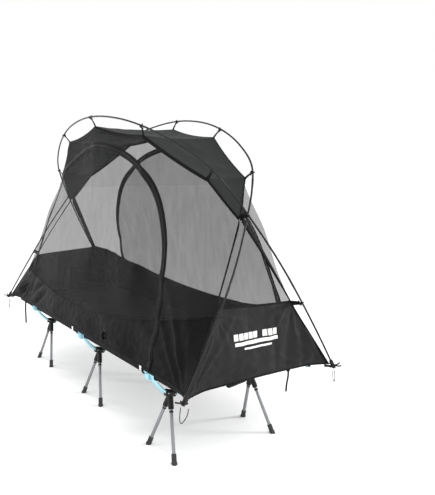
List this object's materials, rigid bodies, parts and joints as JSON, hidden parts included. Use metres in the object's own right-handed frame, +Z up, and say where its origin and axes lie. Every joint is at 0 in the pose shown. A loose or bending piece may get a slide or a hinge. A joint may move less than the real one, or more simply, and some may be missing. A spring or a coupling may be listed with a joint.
{
  "type": "cot tent on folding camping cot",
  "caption": "Folding camping cot on splayed tube legs with a mesh tent pitched over it on crossed arch poles, solid roof, deep black tub and zipped doors.",
  "frame": {"origin": "floor point under the middle of the bed, at the bottom of the box around the whole object without its cords", "axes": "+X along the bed, +Y across it towards the back door, +Z up"},
  "size_m": [2.0707, 0.7888, 1.4664],
  "materials": {
    "blue_aluminium": "pale blue anodised tube",
    "grey_aluminium": "grey anodised tube",
    "dark_aluminium": "dark grey anodised pole",
    "black_plastic": "moulded black plastic",
    "black_rubber": "soft black rubber",
    "sheet_cloth": "black woven bed cloth",
    "tub_cloth": "coated dark woven polyester",
    "roof_cloth": "dark grey-green ripstop",
    "mesh_cloth": "fine black insect mesh",
    "webbing": "black woven webbing",
    "grey_cord": "thin grey shock cord"
  },
  "bodies": {
    "frame": {"side_rail_front": "blue_aluminium", "side_rail_back": "blue_aluminium", "cot_sheet": "sheet_cloth", "cross_bow_left": "blue_aluminium", "hub_left_front": "black_plastic", "hub_left_back": "black_plastic", "cross_bow_middle": "blue_aluminium", "hub_middle_front": "black_plastic", "hub_middle_back": "black_plastic", "cross_bow_right": "blue_aluminium", "hub_right_front": "black_plastic", "hub_right_back": "black_plastic", "arch_pole_front": "dark_aluminium", "arch_pole_back": "dark_aluminium", "pole_foot_back_right": "black_plastic", "pole_foot_back_left": "black_plastic", "pole_foot_front_left": "black_plastic", "pole_foot_front_right": "black_plastic", "tent_floor": "tub_cloth", "front_wall": "mesh_cloth", "back_wall": "mesh_cloth", "end_wall_right": "tub_cloth", "end_wall_left": "tub_cloth", "roof_panel": "roof_cloth", "strap_tail_left": "webbing", "strap_tail_right": "webbing", "cord_loop_front_left": "grey_cord", "cord_loop_front_right": "grey_cord", "cord_loop_back_right": "grey_cord"},
    "leg_left_front_a": {"leg_left_front_a": "grey_aluminium", "foot_left_front_a": "black_rubber"},
    "leg_left_front_b": {"leg_left_front_b": "grey_aluminium", "foot_left_front_b": "black_rubber"},
    "leg_left_back_a": {"leg_left_back_a": "grey_aluminium", "foot_left_back_a": "black_rubber"},
    "leg_left_back_b": {"leg_left_back_b": "grey_aluminium", "foot_left_back_b": "black_rubber"},
    "tension_lever_left": {"tension_lever_left": "black_plastic"},
    "leg_middle_front_a": {"leg_middle_front_a": "grey_aluminium", "foot_middle_front_a": "black_rubber"},
    "leg_middle_front_b": {"leg_middle_front_b": "grey_aluminium", "foot_middle_front_b": "black_rubber"},
    "leg_middle_back_a": {"leg_middle_back_a": "grey_aluminium", "foot_middle_back_a": "black_rubber"},
    "leg_middle_back_b": {"leg_middle_back_b": "grey_aluminium", "foot_middle_back_b": "black_rubber"},
    "tension_lever_middle": {"tension_lever_middle": "black_plastic"},
    "leg_right_front_a": {"leg_right_front_a": "grey_aluminium", "foot_right_front_a": "black_rubber"},
    "leg_right_front_b": {"leg_right_front_b": "grey_aluminium", "foot_right_front_b": "black_rubber"},
    "leg_right_back_a": {"leg_right_back_a": "grey_aluminium", "foot_right_back_a": "black_rubber"},
    "leg_right_back_b": {"leg_right_back_b": "grey_aluminium", "foot_right_back_b": "black_rubber"},
    "tension_lever_right": {"tension_lever_right": "black_plastic"},
    "front_door": {"front_door": "mesh_cloth"},
    "zip_slider_front": {"zip_slider_front": "black_plastic"},
    "back_door": {"back_door": "mesh_cloth"},
    "zip_slider_back": {"zip_slider_back": "black_plastic"}
  },
  "joints": [
    {"name": "pull_out_leg_left_front_a", "type": "slide", "parent": "frame", "child": "leg_left_front_a", "axis": [-0.3743, -0.1672, -0.9121], "range_m": [0, 0.034]},
    {"name": "pull_out_leg_left_front_b", "type": "slide", "parent": "frame", "child": "leg_left_front_b", "axis": [0.3743, -0.1672, -0.9121], "range_m": [0, 0.034]},
    {"name": "pull_out_leg_left_back_a", "type": "slide", "parent": "frame", "child": "leg_left_back_a", "axis": [-0.3743, 0.1672, -0.9121], "range_m": [0, 0.034]},
    {"name": "pull_out_leg_left_back_b", "type": "slide", "parent": "frame", "child": "leg_left_back_b", "axis": [0.3743, 0.1672, -0.9121], "range_m": [0, 0.034]},
    {"name": "lever_left_hinge", "type": "hinge", "parent": "frame", "child": "tension_lever_left", "pos_m": [-0.68, 0.18, 0.231], "axis": [1, 0, 0], "range_deg": [0, 100]},
    {"name": "pull_out_leg_middle_front_a", "type": "slide", "parent": "frame", "child": "leg_middle_front_a", "axis": [-0.3743, -0.1672, -0.9121], "range_m": [0, 0.034]},
    {"name": "pull_out_leg_middle_front_b", "type": "slide", "parent": "frame", "child": "leg_middle_front_b", "axis": [0.3743, -0.1672, -0.9121], "range_m": [0, 0.034]},
    {"name": "pull_out_leg_middle_back_a", "type": "slide", "parent": "frame", "child": "leg_middle_back_a", "axis": [-0.3743, 0.1672, -0.9121], "range_m": [0, 0.034]},
    {"name": "pull_out_leg_middle_back_b", "type": "slide", "parent": "frame", "child": "leg_middle_back_b", "axis": [0.3743, 0.1672, -0.9121], "range_m": [0, 0.034]},
    {"name": "lever_middle_hinge", "type": "hinge", "parent": "frame", "child": "tension_lever_middle", "pos_m": [0, 0.18, 0.231], "axis": [1, 0, 0], "range_deg": [0, 100]},
    {"name": "pull_out_leg_right_front_a", "type": "slide", "parent": "frame", "child": "leg_right_front_a", "axis": [-0.3743, -0.1672, -0.9121], "range_m": [0, 0.034]},
    {"name": "pull_out_leg_right_front_b", "type": "slide", "parent": "frame", "child": "leg_right_front_b", "axis": [0.3743, -0.1672, -0.9121], "range_m": [0, 0.034]},
    {"name": "pull_out_leg_right_back_a", "type": "slide", "parent": "frame", "child": "leg_right_back_a", "axis": [-0.3743, 0.1672, -0.9121], "range_m": [0, 0.034]},
    {"name": "pull_out_leg_right_back_b", "type": "slide", "parent": "frame", "child": "leg_right_back_b", "axis": [0.3743, 0.1672, -0.9121], "range_m": [0, 0.034]},
    {"name": "lever_right_hinge", "type": "hinge", "parent": "frame", "child": "tension_lever_right", "pos_m": [0.68, 0.18, 0.231], "axis": [1, 0, 0], "range_deg": [0, 100]},
    {"name": "front_door_fall", "type": "hinge", "parent": "frame", "child": "front_door", "pos_m": [0, -0.3475, 0.372], "axis": [1, 0, 0], "range_deg": [0, 100]},
    {"name": "front_zip_slide", "type": "slide", "parent": "frame", "child": "zip_slider_front", "axis": [-0.0951, 0.2254, 0.9696], "range_m": [0, 0.33]},
    {"name": "back_door_fall", "type": "hinge", "parent": "frame", "child": "back_door", "pos_m": [0, 0.3475, 0.372], "axis": [-1, 0, 0], "range_deg": [0, 100]},
    {"name": "back_zip_slide", "type": "slide", "parent": "frame", "child": "zip_slider_back", "axis": [0.0951, -0.2254, 0.9696], "range_m": [0, 0.33]}
  ]
}
